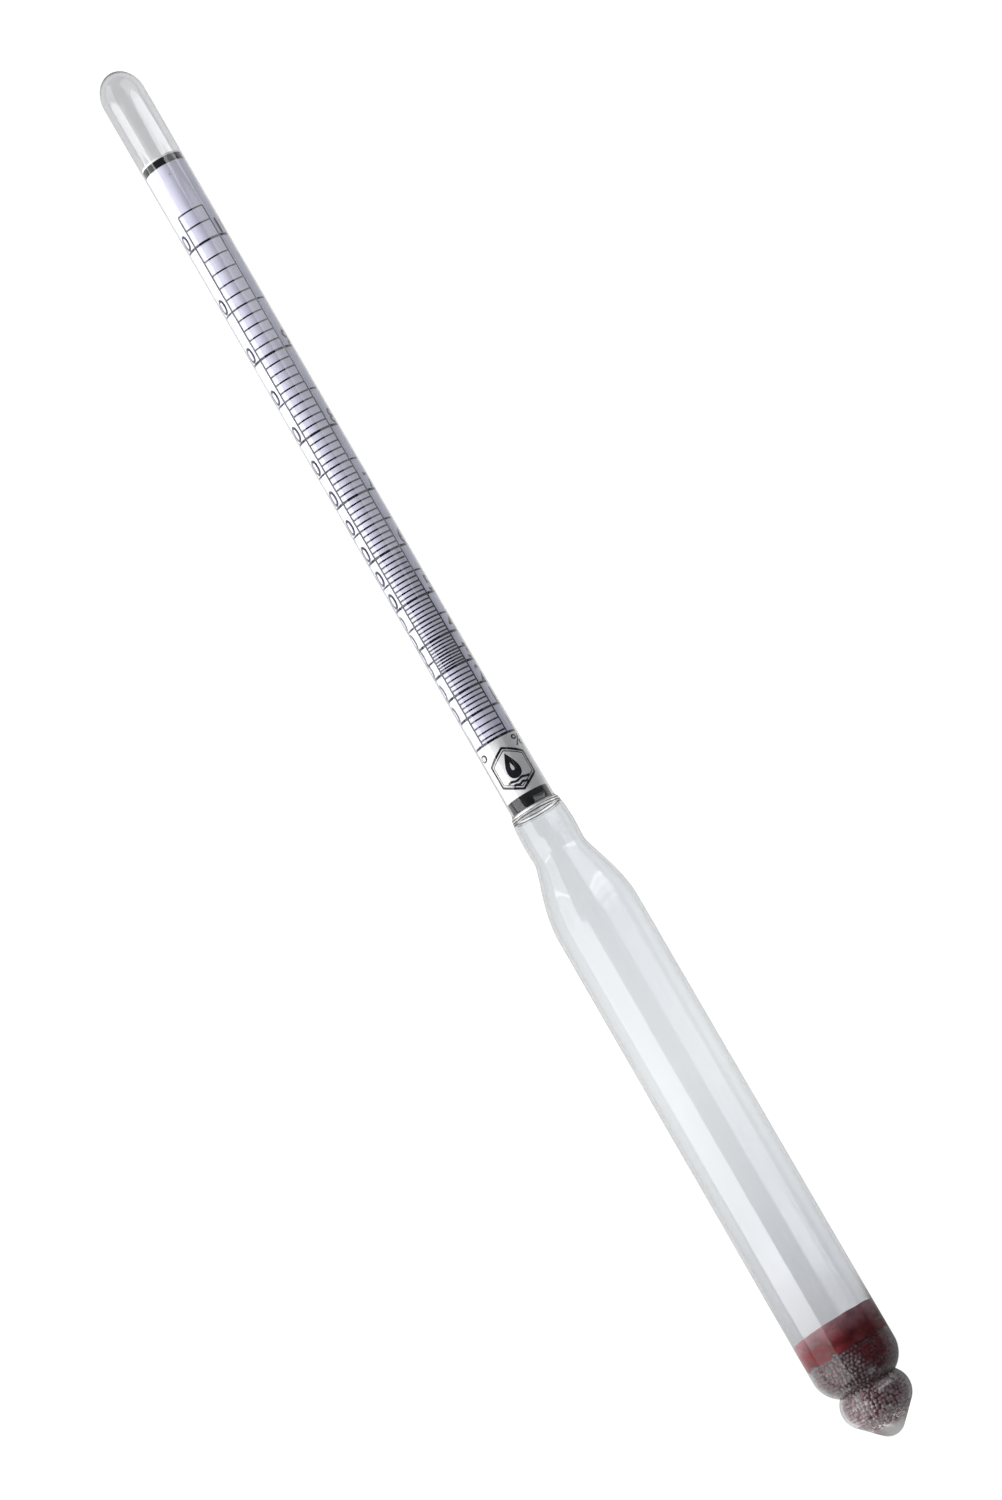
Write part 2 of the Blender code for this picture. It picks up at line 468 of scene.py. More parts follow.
def glass_material(name, span, tints, rims, wave, rough, frosted=None):
    """Clear tube glass: faint draw lines along the axis and a slow waviness in the surface.

    tints are (height, colour) pairs: how much light the glass lets through at each height; besides the
    glass's own grey they darken it as painted shade. rims are (height, broad, line) triples: painted
    shade, what is left of it where the glass is seen edge on, over a broad and a narrow rim. Both are
    given over the span of heights that the piece covers. Below the height frosted the surface is dull.
    """
    nodes = Nodes(name)
    nodes.set(Transmission_Weight=1.0, IOR=1.5)
    start, end = span
    places = [(at - start) / (end - start) for at, _, _ in rims]
    along = nodes.axis_value("X")
    height = nodes.scaled(along, 0.0, 1.0, NOSE_X + start * MM, NOSE_X + end * MM)
    # painted shade: the tints by height give the glass's own grey and darken it further as painted shade
    shaded_tint = nodes.ramp(height, *[((at - start) / (end - start), colour) for at, colour in tints])
    broad = nodes.ramp(height, *[(at, (rim[1],) * 3) for at, rim in zip(places, rims)])
    line = nodes.ramp(height, *[(at, (rim[2],) * 3) for at, rim in zip(places, rims)])
    streaks = nodes.noise(1400.0, 2.0, vector=nodes.stretch((0.02, 1.0, 1.0)))
    lines = nodes.ramp(streaks, (0.35, (0.98, 0.98, 0.98)), (0.65, (1.0, 1.0, 1.0)))
    layer = nodes.tree.nodes.new("ShaderNodeLayerWeight")
    layer.inputs["Blend"].default_value = 0.5
    facing = layer.outputs["Facing"]
    body = nodes.mix(1.0, shaded_tint, lines, "MULTIPLY")
    # painted shade: the glass is darkened where it is seen edge on, broadly and in a narrow dark outline
    broad_rim_shade = nodes.mix(1.0, body, broad, "MULTIPLY")
    body = nodes.mix(nodes.math("POWER", facing, 2.0), body, broad_rim_shade)
    line_rim_shade = nodes.mix(1.0, body, line, "MULTIPLY")
    body = nodes.mix(nodes.scaled(facing, 0.0, 1.0, *LINE_RIM), body, line_rim_shade)
    nodes.link(body, nodes.shader.inputs["Base Color"])
    haze = nodes.noise(260.0, 4.0, vector=nodes.stretch((0.3, 1.0, 1.0)))
    roughness = nodes.scaled(haze, rough * 0.6, rough * 1.4)
    if frosted:
        clear_from = NOSE_X + (frosted + FROST_RUN) * MM
        worn = nodes.scaled(along, FROST_ROUGHNESS, 0.0, NOSE_X + frosted * MM, clear_from)
        roughness = nodes.math("ADD", roughness, worn)
    nodes.link(roughness, nodes.shader.inputs["Roughness"])
    slow = nodes.noise(180.0, 2.0, vector=nodes.stretch((0.25, 1.0, 1.0)))
    nodes.bump(slow, wave, 0.0006)
    nodes.let_lamps_through((0.93, 0.94, 0.95))
    return nodes.material


# ---------------------------------------------------------------- the glass

STEM_STATIONS = (
    (298.8, 4.6),
    (292.0, 4.6),
    (254.0, 4.48),
    (194.0, 4.45),
    (160.0, 4.53),
    (143.5, 4.64),
    (138.4, 4.67),
    (137.3, 4.68),
    (136.9, 4.78),
    (136.6, 5.0),
)
STEM_WALL = 0.22
STEM_WAVE = 0.012
DOME_WALL = 0.4
DOME_STEP = 5  # degrees
STEM_SPAN = (130, LENGTH)
# the stem glass's grey tint with painted shade for the darker ground seen through it, darker still over
# the clear tip
STEM_TINT_AND_SHADE = (
    (140, (0.74, 0.745, 0.755)),
    (283, (0.76, 0.765, 0.775)),
    (286, (0.72, 0.722, 0.735)),
)
# painted shade where the stem is seen edge on
STEM_RIM_SHADE = ((136, 1.0, 0.75), (300, 1.0, 0.75))


def stem_glass():
    dome = [math.radians(DOME_STEP * i) for i in range(90 // DOME_STEP)]
    foot, radius = STEM_STATIONS[0]
    outside = [(foot + (LENGTH - foot) * math.cos(t), radius * math.sin(t)) for t in dome]
    rise = LENGTH - foot - DOME_WALL
    inside = [(foot + rise * math.cos(t), (radius - STEM_WALL) * math.sin(t)) for t in dome]
    run = smooth_run(STEM_STATIONS, 1.0)
    outline = outside + run + [(h, r - STEM_WALL) for h, r in run[::-1]] + inside[::-1]

    def ripple(height, turn, radius):
        angle = math.radians(turn)
        spot = Vector((height * 0.05, math.sin(angle), math.cos(angle)))
        return STEM_WAVE * noise.noise(spot)

    material = glass_material("stem_glass", STEM_SPAN, STEM_TINT_AND_SHADE, STEM_RIM_SHADE, 0.03, 0.02)
    form = revolve(outline, False, ripple=ripple)
    new_piece("stem_glass", form, material, "stem_glass", "stem_tube")


BEAD_TOP = 136.55
BEAD_FOOT = 135.35
BEAD_RADIUS = 4.98  # at its top, in the bottom of a fold
BEAD_SPREAD = 0.16  # how much wider it is at its foot
BEAD_ROLL = 0.12  # how far each roll stands out
BEAD_FOLD = 0.2  # how far from a seam a roll reaches its full height
BEAD_BORE = ((0.0, 4.7), (0.5, 4.62), (1.2, 4.6))  # radii at heights above its foot
BEAD_SEAMS = (136.2, 135.65)  # where the rolls of melted glass fold in between one another
BEAD_STEPS = 48
BEAD_SPAN = (135.3, 136.7)
# painted shade where the bead is seen edge on
BEAD_RIM_SHADE = ((135.3, 0.95, 0.7), (136.7, 0.95, 0.7))
# painted shade: dark lines painted on the bead's glass in the folds between its rolls, clear glass either
# side
SEAM_SHADE = (0.02, 0.02, 0.02)
SEAM_CLEAR = (0.98, 0.98, 0.98)
SEAM_STEPS = ((-0.11, SEAM_CLEAR), (-0.07, SEAM_SHADE), (0.07, SEAM_SHADE), (0.11, SEAM_CLEAR))
BEAD_SHADED_SEAMS = tuple((seam + step, shade) for seam in BEAD_SEAMS[::-1] for step, shade in SEAM_STEPS)


def bead_glass():
    """The melted ring at the joint, in fine rolls, and the rounded top of the neck."""
    outline = []
    for i in range(BEAD_STEPS + 1):
        height = BEAD_TOP + (BEAD_FOOT - BEAD_TOP) * i / BEAD_STEPS
        rise = BEAD_RADIUS + BEAD_SPREAD * math.sin(math.pi / 2 * i / BEAD_STEPS)
        fold = min(abs(height - seam) for seam in BEAD_SEAMS)
        outline.append((height, rise + BEAD_ROLL * min(1.0, fold / BEAD_FOLD) ** 0.5))
    outline += [(BEAD_FOOT + up, radius) for up, radius in BEAD_BORE]
    material = glass_material("bead_glass", BEAD_SPAN, BEAD_SHADED_SEAMS, BEAD_RIM_SHADE, 0.1, 0.04)
    new_piece("bead_glass", revolve(outline, True), material, "bead_glass", "fusion_bead")


BODY_HEAD = 112.0  # where the straight tube turns in towards the neck
BODY_FOOT = 16.0  # where it turns in towards the waist
BODY_TAPER = 0.08  # how much narrower it is at its head
TUBE_STEPS = range(110, 17, -2)  # heights of the rings along the straight tube
FOOT_ARC = 6.2
KNOB_CENTRE = 7.7
KNOB_ARC = 4.56
NOSE_ARC = 3.3
SHOULDER_EASE_IN = (0.2, 0.15)  # how far along and up the neck's end keeps its line
SHOULDER_EASE_OUT = 0.42  # how far along the straight tube's end keeps its line
NECK_STATIONS = (
    (135.3, 5.24),
    (135.0, 5.34),
    (134.4, 5.42),
    (133.4, 5.46),
    (131.4, 5.56),
    (129.3, 5.53),
    (127.0, 5.42),
)
WALLS = (0.6, 0.5, 2.6)  # of the tube, the knob and the nose
FOOT_WALL = 0.3  # the tube is drawn thinner below the wax
THIN_FROM = 34  # the height where the wall starts to thin
THIN_RUN = 8

FLOAT_SPAN = (0, 135)
# the float glass's grey tint with painted shade, darkest round the wax and shot and nearly clear at the
# nose
FLOAT_TINT_AND_SHADE = (
    (2.2, (0.98, 0.98, 0.98)),
    (5.5, (0.84, 0.835, 0.84)),
    (9, (0.72, 0.71, 0.72)),
    (25, (0.69, 0.695, 0.71)),
    (33, (0.73, 0.74, 0.76)),
    (52, (0.80, 0.815, 0.83)),
    (80, (0.86, 0.875, 0.885)),
    (108, (0.835, 0.85, 0.865)),
    (133, (0.79, 0.805, 0.82)),
)
# painted shade where the float is seen edge on: a dark outline, strongest round the foot and knob
FLOAT_RIM_SHADE = (
    (2.2, 1.0, 1.0),
    (5.5, 0.95, 0.70),
    (8, 0.75, 0.25),
    (22, 0.75, 0.25),
    (28, 0.85, 0.55),
    (60, 0.85, 0.72),
    (110, 0.80, 0.62),
    (134, 0.70, 0.40),
)
FROSTED_NOSE = 1.9  # the height up to which the nose is dull
FLOAT_WAVE = 0.03
BLOWN_FROM = 118  # the shoulder and neck above this were worked in a flame and wave more
DRAWN_WAVE = 0.35


def foot_and_knob(foot_inset, knob_inset, nose_inset):
    """The float's lower end from the straight tube to the axis, this far inside the glass's outer face."""
    centre_radius = BODY_RADIUS - FOOT_ARC
    foot_size = FOOT_ARC - foot_inset
    knob_size = KNOB_ARC - knob_inset
    gap = BODY_FOOT - KNOB_CENTRE
    waist = KNOB_CENTRE + (knob_size**2 - foot_size**2 + gap**2) / (2 * gap)
    foot_end = math.degrees(math.acos((waist - BODY_FOOT) / foot_size))
    knob_start = math.degrees(math.acos((waist - KNOB_CENTRE) / knob_size))
    return (
        arc(BODY_FOOT, centre_radius, foot_size, 90, foot_end, 24)
        + arc(KNOB_CENTRE, centre_radius, knob_size, knob_start, 135, 30)[1:]
        + arc(NOSE_ARC, 0.0, NOSE_ARC - nose_inset, 135, 180, 16)
    )


def shoulder(head, neck, steps=40):
    """The long turn from the neck down to the straight tube, both given as (height, radius)."""
    reach = neck[0] - head[0]
    along, up = SHOULDER_EASE_IN
    knots = (
        (neck[0], neck[1], 0.0),
        (neck[0] - along * reach, neck[1] + up * (head[1] - neck[1]), 0.0),
        (head[0] + SHOULDER_EASE_OUT * reach, head[1], 0.0),
        (head[0], head[1], 0.0),
    )
    return [(p[0], p[1]) for p in interpolate_bezier(*knots, steps + 1)]


def float_side(wall, knob_wall, nose_wall):
    """The float from the top of its neck to the axis, this far inside its outer face."""
    neck = [(h, r - wall) for h, r in smooth_run(NECK_STATIONS, 0.3)]
    head = (BODY_HEAD, BODY_RADIUS - BODY_TAPER - wall)
    thin = min(wall, FOOT_WALL)
    tube = []
    for h in TUBE_STEPS:
        thinned = min(1.0, max(0.0, (THIN_FROM - h) / THIN_RUN))
        wider = BODY_TAPER * (BODY_HEAD - h) / (BODY_HEAD - BODY_FOOT)
        tube.append((h, head[1] + wider + thinned * (wall - thin)))
    return neck[:-1] + shoulder(head, neck[-1]) + tube + foot_and_knob(thin, knob_wall, nose_wall)


def float_glass():
    outside = float_side(0.0, 0.0, 0.0)
    inside = float_side(*WALLS)

    def ripple(height, turn, radius):
        if radius < 2.0:
            return 0.0
        angle = math.radians(turn)
        worked = 1.0 if height > BLOWN_FROM else DRAWN_WAVE
        spot = Vector((height * 0.12, 1.5 * math.sin(angle), 1.5 * math.cos(angle)))
        return FLOAT_WAVE * worked * noise.noise(spot)

    material = glass_material(
        "float_glass", FLOAT_SPAN, FLOAT_TINT_AND_SHADE, FLOAT_RIM_SHADE, 0.03, 0.07, frosted=FROSTED_NOSE
    )
    form = revolve(inside[::-1] + outside, False, ripple=ripple)
    new_piece("float_glass", form, material, "float_glass", "float_body")


# ---------------------------------------------------------------- the paper scale

PAPER_FOOT = 136.45
PAPER_HEAD = 284.0
PAPER_RADIUS = 4.21
PAPER_THICK = 0.1
PAPER_EDGE = 192  # the sheet runs from minus this turn to this turn, so its ends lap at the back
PAPER_COLUMNS = 192
PAPER_ROWS = 120
LAP_FROM = 138  # the turn where the trailing end starts to dip
LAP_RUN = 26
LAP_DEPTH = 1.6 * PAPER_THICK
TINT_HEAD = 282.0  # the paper is tinted from the zero mark up to here
INK_LOW = 0.03  # how deep the ink reaches into the paper
INK_HIGH = 0.012  # how far it stands out

# Density of a mixture of alcohol in water at each tenth, from none to pure.
DENSITIES = (1.0, 0.9866, 0.9759, 0.9653, 0.9519, 0.9342, 0.9134, 0.8899, 0.8639, 0.8337, 0.7936)
DENSITY_BEYOND = 0.7249  # sets how steeply the densities end
ZERO_HEIGHT = 151.53
RISE = 445.6  # how much higher a mark is for each unit of sink, near the zero mark
RISE_EASE = 42.0  # how fast that falls as the hydrometer sinks deeper
FRAME_TOP = 271.5
FRAME_STEP = 268.3
FRAME_LEFT = -37
FRAME_RIGHT = 40
FRAME_LINE = 0.33  # width of the frame's upright lines
FRAME_BAR = 0.34
TEN_MARK = (0.5, -88, 88)  # width of the mark at each ten, and the turns where it starts and ends
FIVE_MARK = (0.37, -80, 71)
ONE_MARK = (0.33, FRAME_LEFT, FRAME_RIGHT)
FINE_FROM = 30  # above this every one and every five has its mark
DASH = (279.7, 279.9, 2.0, 4.8)  # a short dash above the frame

PERCENT_TURN = 83
PROOF_TURN = -88
NUMBER_LIFT = 0.4  # of the digits above their mark
NUMBER_SIZE = (3.3, 2.0)  # height of a digit, and the advance from one to the next
PERCENT_SIGN = (-3.0, 62, (2.3, 2.2))  # height above the zero mark, turn and size
PROOF_SIGN = (-2.9, -60, (2.2, 2.0))
FONT_SIZE = (0.70, 0.48)  # the same two sizes of a digit in the font, before it is stretched
FONT_WEIGHT = 0.016
SLICE = 0.3  # a flat drawing is cut into strips this wide, so that it bends round the paper

MARK_MIDDLE = 144.8
MARK_TURN = 3.0
HEXAGONS = ((4.75, 4.2), (3.98, 3.76))  # outer and inner size of each ring
DROP_SIZE = 3.2
DROP_LIFT = 0.7
LEVELS = ((-2.1, 2.3), (-2.95, 1.5))  # height of each level line under the drop, and half its width
LEVEL_THICK = 0.5
LEVEL_WAVE = 0.14
LEVEL_STEPS = 12


def paper_radius(turn):
    """The trailing end of the sheet dips under the leading one."""
    dip = min(1.0, max(0.0, (turn - LAP_FROM) / LAP_RUN))
    return PAPER_RADIUS - LAP_DEPTH * dip * dip * (3 - 2 * dip)


def quads(form, one, two):
    """Joins two rows of as many points with faces."""
    for i in range(len(one) - 1):
        form.faces.new((one[i], one[i + 1], two[i + 1], two[i]))


def scale_paper():
    form = bmesh.new()
    turns = [-PAPER_EDGE + 2 * PAPER_EDGE * i / PAPER_COLUMNS for i in range(PAPER_COLUMNS + 1)]
    rise = PAPER_HEAD - PAPER_FOOT
    heights = [PAPER_FOOT + rise * i / PAPER_ROWS for i in range(PAPER_ROWS + 1)]
    layers = []
    for depth in (0.0, PAPER_THICK):
        grid = [[form.verts.new(place(h, a, paper_radius(a) - depth)) for a in turns] for h in heights]
        for one, two in zip(grid, grid[1:]):
            quads(form, one, two)
        layers.append(grid)
    over, under = layers
    quads(form, over[0], under[0])
    quads(form, over[-1], under[-1])
    quads(form, [row[0] for row in over], [row[0] for row in under])
    quads(form, [row[-1] for row in over], [row[-1] for row in under])
    bmesh.ops.recalc_face_normals(form, faces=form.faces[:])

    nodes = Nodes("scale_paper")
    nodes.set(Roughness=0.62, Specular_IOR_Level=0.3)
    along = nodes.axis_value("X")
    tint_foot = NOSE_X + ZERO_HEIGHT * MM
    tint_head = NOSE_X + TINT_HEAD * MM
    above = nodes.math("GREATER_THAN", along, tint_foot)
    below = nodes.math("LESS_THAN", along, tint_head)
    tinted = nodes.math("MULTIPLY", above, below)
    fibres = nodes.noise(2600.0, 4.0, vector=nodes.stretch((1.0, 0.45, 0.45)))
    mottle = nodes.noise(350.0, 3.0)
    white = nodes.ramp(mottle, (0.3, (0.71, 0.695, 0.695)), (0.7, (0.77, 0.755, 0.76)))
    lilac = nodes.ramp(mottle, (0.3, (0.59, 0.575, 0.71)), (0.7, (0.64, 0.625, 0.755)))
    colour = nodes.mix(tinted, white, lilac)
    colour = nodes.mix(nodes.scaled(fibres, 0.0, 0.16), colour, (0.60, 0.57, 0.60))
    nodes.link(colour, nodes.shader.inputs["Base Color"])
    nodes.bump(fibres, 0.25, 0.00003)
    new_piece("paper_roll", form, nodes.material, "scale_paper", "scale_paper")


def bar(form, low, high, start, end):
    """A thin closed bar of ink between two heights and two turns."""
    steps = max(1, math.ceil((end - start) / 4))
    corners = ((low, -INK_LOW), (high, -INK_LOW), (high, INK_HIGH), (low, INK_HIGH))
    rings = []
    for i in range(steps + 1):
        turn = start + (end - start) * i / steps
        rings.append([form.verts.new(place(h, turn, PAPER_RADIUS + r)) for h, r in corners])
    for one, two in zip(rings, rings[1:]):
        for i in range(4):
            j = (i + 1) % 4
            form.faces.new((one[i], one[j], two[j], two[i]))
    form.faces.new(rings[0])
    form.faces.new(rings[-1])


def tick(form, height, width, start, end):
    bar(form, height - width / 2, height + width / 2, start, end)


def scale_height(value):
    """Height of a mark, which follows how much deeper the hydrometer sinks in thinner liquid."""
    tenth = min(int(value // 10), 9)
    part = value / 10 - tenth
    low, high = DENSITIES[tenth], DENSITIES[tenth + 1]
    before = DENSITIES[max(tenth - 1, 0)]
    after = DENSITIES[tenth + 2] if tenth < 9 else DENSITY_BEYOND
    start_slope = (high - before) / 2
    end_slope = (after - low) / 2
    density = (
        low * (2 * part**3 - 3 * part**2 + 1)
        + start_slope * (part**3 - 2 * part**2 + part)
        + high * (3 * part**2 - 2 * part**3)
        + end_slope * (part**3 - part**2)
    )
    sink = 1 / density - 1
    return ZERO_HEIGHT + RISE * sink - RISE_EASE * sink**2


def press(form, flat, height, turn):
    """Wraps a flat drawing in millimetres, x along the turn and y up the stem, round the paper as ink."""
    cuts = math.ceil(max(abs(v.co.x) for v in flat.verts) / SLICE)
    for i in range(-cuts, cuts + 1):
        everything = flat.verts[:] + flat.edges[:] + flat.faces[:]
        bmesh.ops.bisect_plane(flat, geom=everything, plane_co=(i * SLICE, 0, 0), plane_no=(1, 0, 0))
    made = bmesh.ops.extrude_face_region(flat, geom=flat.faces[:], use_keep_orig=True)
    under = {v for v in made["geom"] if isinstance(v, bmesh.types.BMVert)}
    copies = {}
    for v in flat.verts:
        depth = -INK_LOW if v in under else INK_HIGH
        angle = turn + math.degrees(v.co.x / PAPER_RADIUS)
        copies[v] = form.verts.new(place(height + v.co.y, angle, PAPER_RADIUS + depth))
    for face in flat.faces:
        form.faces.new([copies[v] for v in face.verts])
    flat.free()


def number(form, text, height, turn, size=NUMBER_SIZE):
    """Digits standing at a height, their middle at this turn."""
    curve = bpy.data.curves.new("digits", "FONT")
    curve.body = text
    curve.fill_mode = "FRONT"
    curve.resolution_u = 5
    curve.offset = FONT_WEIGHT
    curve.align_x = "CENTER"
    holder = bpy.data.objects.new("digits", curve)
    bpy.context.scene.collection.objects.link(holder)
    graph = bpy.context.evaluated_depsgraph_get()
    mesh = bpy.data.meshes.new_from_object(holder.evaluated_get(graph))
    flat = bmesh.new()
    flat.from_mesh(mesh)
    bpy.data.objects.remove(holder)
    bpy.data.curves.remove(curve)
    bpy.data.meshes.remove(mesh)
    bmesh.ops.remove_doubles(flat, verts=flat.verts[:], dist=1e-4)
    tall, advance = size
    font_tall, font_advance = FONT_SIZE
    stretch = (advance / font_advance, tall / font_tall, 1.0)
    bmesh.ops.scale(flat, vec=stretch, verts=flat.verts[:])
    press(form, flat, height, turn)


def ink_material():
    nodes = Nodes("scale_ink")
    nodes.set(Roughness=0.6, Specular_IOR_Level=0.1)
    worn = nodes.noise(3000.0, 3.0)
    black = nodes.ramp(worn, (0.35, (0.003, 0.003, 0.006)), (0.75, (0.018, 0.017, 0.025)))
    nodes.link(black, nodes.shader.inputs["Base Color"])
    nodes.bump(worn, 0.2, 0.00002)
    return nodes.material


def scale_marks(material):
    """The frame, and a mark at each percent; those up to 30 are every two."""
    form = bmesh.new()
    foot = scale_height(0)
    half = math.degrees(FRAME_LINE / 2 / PAPER_RADIUS)
    for turn in (FRAME_LEFT, FRAME_RIGHT):
        bar(form, foot, FRAME_TOP, turn - half, turn + half)
    for height in (FRAME_TOP, FRAME_STEP):
        tick(form, height, FRAME_BAR, FRAME_LEFT, FRAME_RIGHT)
    for value in range(0, 101):
        height = scale_height(value)
        if value % 10 == 0:
            tick(form, height, *TEN_MARK)
        elif value % 5 == 0 and value > FINE_FROM:
            tick(form, height, *FIVE_MARK)
        elif value > FINE_FROM or value % 2 == 0:
            tick(form, height, *ONE_MARK)
    bar(form, *DASH)
    bmesh.ops.recalc_face_normals(form, faces=form.faces[:])
    new_piece("scale_marks", form, material, "band_black")


def scale_numbers(material):
    """Percent at the right of the frame, and proof, twice as much, at the left."""
    form = bmesh.new()
    for value in range(0, 101, 10):
        number(form, str(value), scale_height(value) + NUMBER_LIFT, PERCENT_TURN)
    for value in [*range(100, 29, -5), 20, 10, 0]:
        number(form, str(2 * value), scale_height(value) + NUMBER_LIFT, PROOF_TURN)
    for sign, (lift, turn, size) in (("%", PERCENT_SIGN), ("o", PROOF_SIGN)):
        number(form, sign, scale_height(0) + lift, turn, size)
    bmesh.ops.recalc_face_normals(form, faces=form.faces[:])
    new_piece("scale_numbers", form, material, "band_black")


def outline_band(flat, outer, inner):
    """A flat closed ribbon between two outlines with as many points."""
    rings = [[flat.verts.new((x, y, 0.0)) for x, y in points] for points in (outer, inner)]
    for i in range(len(outer)):
        j = (i + 1) % len(outer)
        flat.faces.new((rings[0][i], rings[0][j], rings[1][j], rings[1][i]))


def hexagon(size, parts=6):
    """Pointed towards the tip, with points along each side so that it bends smoothly."""
    turns = [math.pi / 3 * i for i in range(6)]
    corners = [(size * math.sin(t), size * math.cos(t)) for t in turns]
    points = []
    for (x, y), (next_x, next_y) in zip(corners, corners[1:] + corners[:1]):
        for k in range(parts):
            points.append((x + (next_x - x) * k / parts, y + (next_y - y) * k / parts))
    return points


def droplet(size, steps=40):
    """A drop with its point towards the tip."""
    points = []
    for i in range(steps):
        t = 2 * math.pi * i / steps
        across = 0.62 * size * math.sin(t) * math.sin(t / 2) ** 1.4
        points.append((across, -0.85 * size * math.cos(t - math.pi)))
    return points


def maker_mark(material):
    """A plain mark of its own: two hexagons round a drop, over two level lines."""
    form = bmesh.new()

    def ribbon(outer, inner):
        flat = bmesh.new()
        outline_band(flat, outer, inner)
        press(form, flat, MARK_MIDDLE, MARK_TURN)

    for outer, inner in HEXAGONS:
        ribbon(hexagon(outer), hexagon(inner))
    drop = [(x, y + DROP_LIFT) for x, y in droplet(DROP_SIZE)]
    core = [(x * 0.22, (y - 0.2) * 0.3 + 0.3) for x, y in drop]
    ribbon(drop, core)
    for level, half in LEVELS:
        flat = bmesh.new()
        top = []
        low = []
        for k in range(LEVEL_STEPS + 1):
            x = half * (2 * k / LEVEL_STEPS - 1)
            y = level + LEVEL_WAVE * math.sin(k)
            top.append(flat.verts.new((x, y, 0.0)))
            low.append(flat.verts.new((x, y - LEVEL_THICK, 0.0)))
        quads(flat, top, low)
        press(form, flat, MARK_MIDDLE, MARK_TURN)
    bmesh.ops.recalc_face_normals(form, faces=form.faces[:])
    new_piece("paper_mark", form, material, "band_black")


BAND_SINK = 0.02  # below the paper's outer face
BAND_RISE = 0.03  # above it
BAND_EDGE = (0.03, 0.015)  # how far along and down its corners are rounded
BANDS = {"upper_band": (282.05, 283.6), "lower_band": (136.85, 139.5)}


def band(name, foot, head):
    """A black ring of tape round the paper, its edges a little rounded."""
    low = PAPER_RADIUS - BAND_SINK
    high = PAPER_RADIUS + BAND_RISE
    along, down = BAND_EDGE
    outline = [(foot, low), (foot, high - down), (foot + along, high)]
    outline += [(head - along, high), (head, high - down), (head, low)]
    nodes = Nodes(name)
    nodes.set(Specular_IOR_Level=0.2)
    grain = nodes.noise(2200.0, 4.0, vector=nodes.stretch((1.0, 0.3, 0.3)))
    black = nodes.ramp(grain, (0.3, (0.003, 0.003, 0.004)), (0.8, (0.014, 0.013, 0.016)))
    nodes.link(black, nodes.shader.inputs["Base Color"])
    nodes.link(nodes.scaled(grain, 0.22, 0.5), nodes.shader.inputs["Roughness"])
    nodes.bump(grain, 0.3, 0.00003)
    new_piece(name, revolve(outline, True), nodes.material, "band_black", name)


# ---------------------------------------------------------------- the wax and the shot

INSIDE = [p for p in float_side(*WALLS) if p[0] < 40]
WAX_RIM = 24.5
WAX_DISH = 21.6
WAX_FOOT = 18.4
WAX_SIDES = 180
WAX_ROWS = 26
WAX_RINGS = 14  # from the wall to the axis, on top and underneath
WAX_TILT = 0.7  # half the drop from the rim's highest side to its lowest
WAX_TILT_TURN = 0.6  # the angle of its highest side, in radians
WAX_SKIN = (0.02, 0.05)  # how far the wax stands into the wall, and how much that varies
WAX_HOLLOW = 9.6  # how steeply the top drops from its rim into the dish
WAX_NEEDLE = 0.05  # radius of the small ring that closes it at the axis
PALE_RUN = (20.8, 24.0)  # heights over which the wax gets paler towards its rim

FILL_TOP = 19.8
FILL_INSET = 0.36

SHOT_TOP = 20.4
SHOT_RADIUS = 0.45  # of the space for one pellet
SHOT_LAYERS = ((0.0, 0.80), (0.62, 0.84))  # depth of each layer behind the glass, and its pitch
SHOT_ROW = 0.88  # distance between rows, in pitches
SHOT_SIZE = 0.43  # radius of a pellet before its random change
SOAKED_SPOT = (17.0, 38, 8.0)  # height, turn and radius of the place where wax soaked the shot most
SOAKED_RUN = (0.0028, 0.0055)  # how far from it that fades, in metres
NOSE_LIGHT_RUN = (3.0, 12.0)  # heights over which the painted light on the shot fades, so it gets darker away from the nose


def wall_radius(height):
    """Inner radius of the float at a height."""
    for one, two in zip(INSIDE, INSIDE[1:]):
        if one[0] >= height >= two[0] and one[0] > two[0]:
            return two[1] + (one[1] - two[1]) * (height - two[0]) / (one[0] - two[0])
    return 0.0


def wax_edges():
    """The heights of the wax's rim and foot at each side."""
    rims = []
    feet = []
    for k in range(WAX_SIDES):
        angle = 2 * math.pi * k / WAX_SIDES
        spot = Vector((3 * math.cos(angle), 3 * math.sin(angle), 0.0))
        tilt = WAX_TILT * (1 - math.cos(angle - WAX_TILT_TURN))
        rims.append(WAX_RIM - tilt + 0.12 * noise.noise(spot))
        feet.append(WAX_FOOT + 0.6 * noise.noise(0.8 * spot) + 0.8 * noise.noise(2.6 * spot))
    return rims, feet


